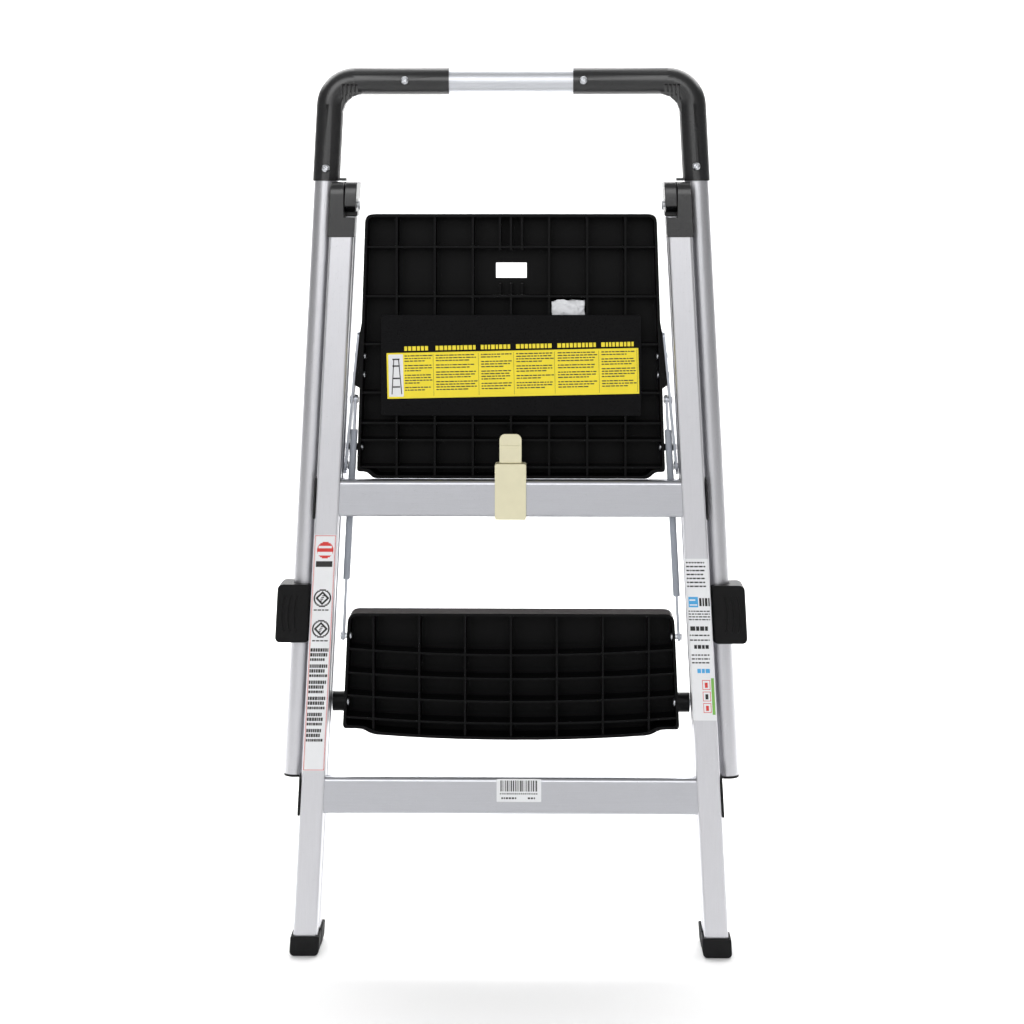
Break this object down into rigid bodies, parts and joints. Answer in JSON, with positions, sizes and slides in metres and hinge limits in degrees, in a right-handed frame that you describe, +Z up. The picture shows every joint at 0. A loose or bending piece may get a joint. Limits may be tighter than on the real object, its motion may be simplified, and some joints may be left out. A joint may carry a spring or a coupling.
{
  "type": "folding step stool",
  "caption": "Folding step stool with splayed aluminium legs, a fixed handrail with a grip, ribbed black plastic steps on links, and a latch; shown folded flat.",
  "frame": {"origin": "on the floor, under the middle of the folded stool's bounding box", "axes": "+Z up, +X to the right seen from behind, +Y the climbing side; the ribbed undersides face -Y when folded"},
  "size_m": [0.496, 0.0654, 0.927],
  "materials": {
    "aluminium": "satin extruded",
    "steel": "bright zinc plated",
    "black_plastic": "fine moulded grain",
    "grey_sleeve": "smooth satin",
    "pale_latch": "smooth satin",
    "black_rubber": "matte moulded"
  },
  "bodies": {
    "front_frame": {"front_leg_left": "aluminium", "front_leg_right": "aluminium", "handrail_tube_left": "aluminium", "handrail_tube_right": "aluminium", "handrail_plug_left": "black_plastic", "handrail_plug_right": "black_plastic", "handle_corner_left": "black_plastic", "handle_corner_right": "black_plastic", "grip_screw_left": "steel", "grip_screw_right": "steel", "post_screw_left": "steel", "post_screw_right": "steel", "hinge_head_left": "black_plastic", "hinge_head_right": "black_plastic", "hinge_pin_left": "steel", "hinge_pin_right": "steel", "front_foot_left": "black_rubber", "front_foot_right": "black_rubber", "platform_pivot_left": "steel", "platform_pivot_right": "steel", "step_pivot_left": "steel", "step_pivot_right": "steel", "handle_grip": "aluminium", "front_crossbar": "aluminium"},
    "rear_frame": {"rear_leg_left": "aluminium", "rear_leg_right": "aluminium", "hinge_socket_left": "black_plastic", "hinge_socket_right": "black_plastic", "upper_end_cap_left": "black_plastic", "upper_end_cap_right": "black_plastic", "lower_end_cap_left": "black_plastic", "lower_end_cap_right": "black_plastic", "rear_foot_left": "black_rubber", "rear_foot_right": "black_rubber", "rear_crossbar_upper": "aluminium", "rear_crossbar_lower": "aluminium", "latch_clamp": "pale_latch"},
    "latch_tongue": {"latch_tongue": "pale_latch"},
    "platform": {"platform_deck": "black_plastic", "label_board": "black_plastic", "platform_bracket_left": "steel", "platform_bracket_right": "steel", "upper_link_pin_left": "steel", "upper_link_pin_right": "steel", "bracket_rivet_left_1": "steel", "bracket_rivet_left_2": "steel", "bracket_rivet_left_3": "steel", "bracket_rivet_right_1": "steel", "bracket_rivet_right_2": "steel", "bracket_rivet_right_3": "steel"},
    "lower_step": {"lower_step": "black_plastic", "lower_link_pin_left": "steel", "lower_link_pin_right": "steel"},
    "link_left": {"link_bar_left": "steel", "link_sleeve_left": "grey_sleeve"},
    "link_right": {"link_bar_right": "steel", "link_sleeve_right": "grey_sleeve"},
    "side_clip_left": {"side_clip_left": "black_plastic"},
    "side_clip_right": {"side_clip_right": "black_plastic"}
  },
  "joints": [
    {"name": "rear_frame_hinge", "type": "hinge", "parent": "front_frame", "child": "rear_frame", "pos_m": [0, -0.01025, 0.782], "axis": [-1, 0, 0], "range_deg": [0, 40]},
    {"name": "platform_turn", "type": "hinge", "parent": "front_frame", "child": "platform", "pos_m": [0, 0.00375, 0.507], "axis": [1, 0, 0], "range_deg": [0, 70.5]},
    {"name": "lower_step_turn", "type": "hinge", "parent": "front_frame", "child": "lower_step", "pos_m": [0, 0.00375, 0.258], "axis": [1, 0, 0], "range_deg": [0, 70.5]},
    {"name": "link_turn_left", "type": "hinge", "parent": "platform", "child": "link_left", "pos_m": [-0.1634, -0.00025, 0.577], "axis": [-1, 0, 0], "range_deg": [0, 70.5]},
    {"name": "link_turn_right", "type": "hinge", "parent": "platform", "child": "link_right", "pos_m": [0.1634, -0.00025, 0.577], "axis": [-1, 0, 0], "range_deg": [0, 70.5]},
    {"name": "latch_flex", "type": "hinge", "parent": "rear_frame", "child": "latch_tongue", "pos_m": [0, -0.02675, 0.5137], "axis": [1, 0, 0], "range_deg": [0, 6], "stiffness_Nm_per_rad": 0.4},
    {"name": "side_clip_swivel_left", "type": "hinge", "parent": "front_frame", "child": "side_clip_left", "pos_m": [-0.21904, 0.01275, 0.3525], "axis": [-0.0515, 0, -0.9987], "range_deg": [0, 22]},
    {"name": "side_clip_swivel_right", "type": "hinge", "parent": "front_frame", "child": "side_clip_right", "pos_m": [0.21904, 0.01275, 0.3525], "axis": [-0.0515, 0, 0.9987], "range_deg": [0, 22]}
  ],
  "couplings": [
    {"joint": "platform_turn", "follows": "rear_frame_hinge", "ratio": 1.7625},
    {"joint": "lower_step_turn", "follows": "rear_frame_hinge", "ratio": 1.7625},
    {"joint": "link_turn_left", "follows": "rear_frame_hinge", "ratio": 1.7625},
    {"joint": "link_turn_right", "follows": "rear_frame_hinge", "ratio": 1.7625}
  ]
}
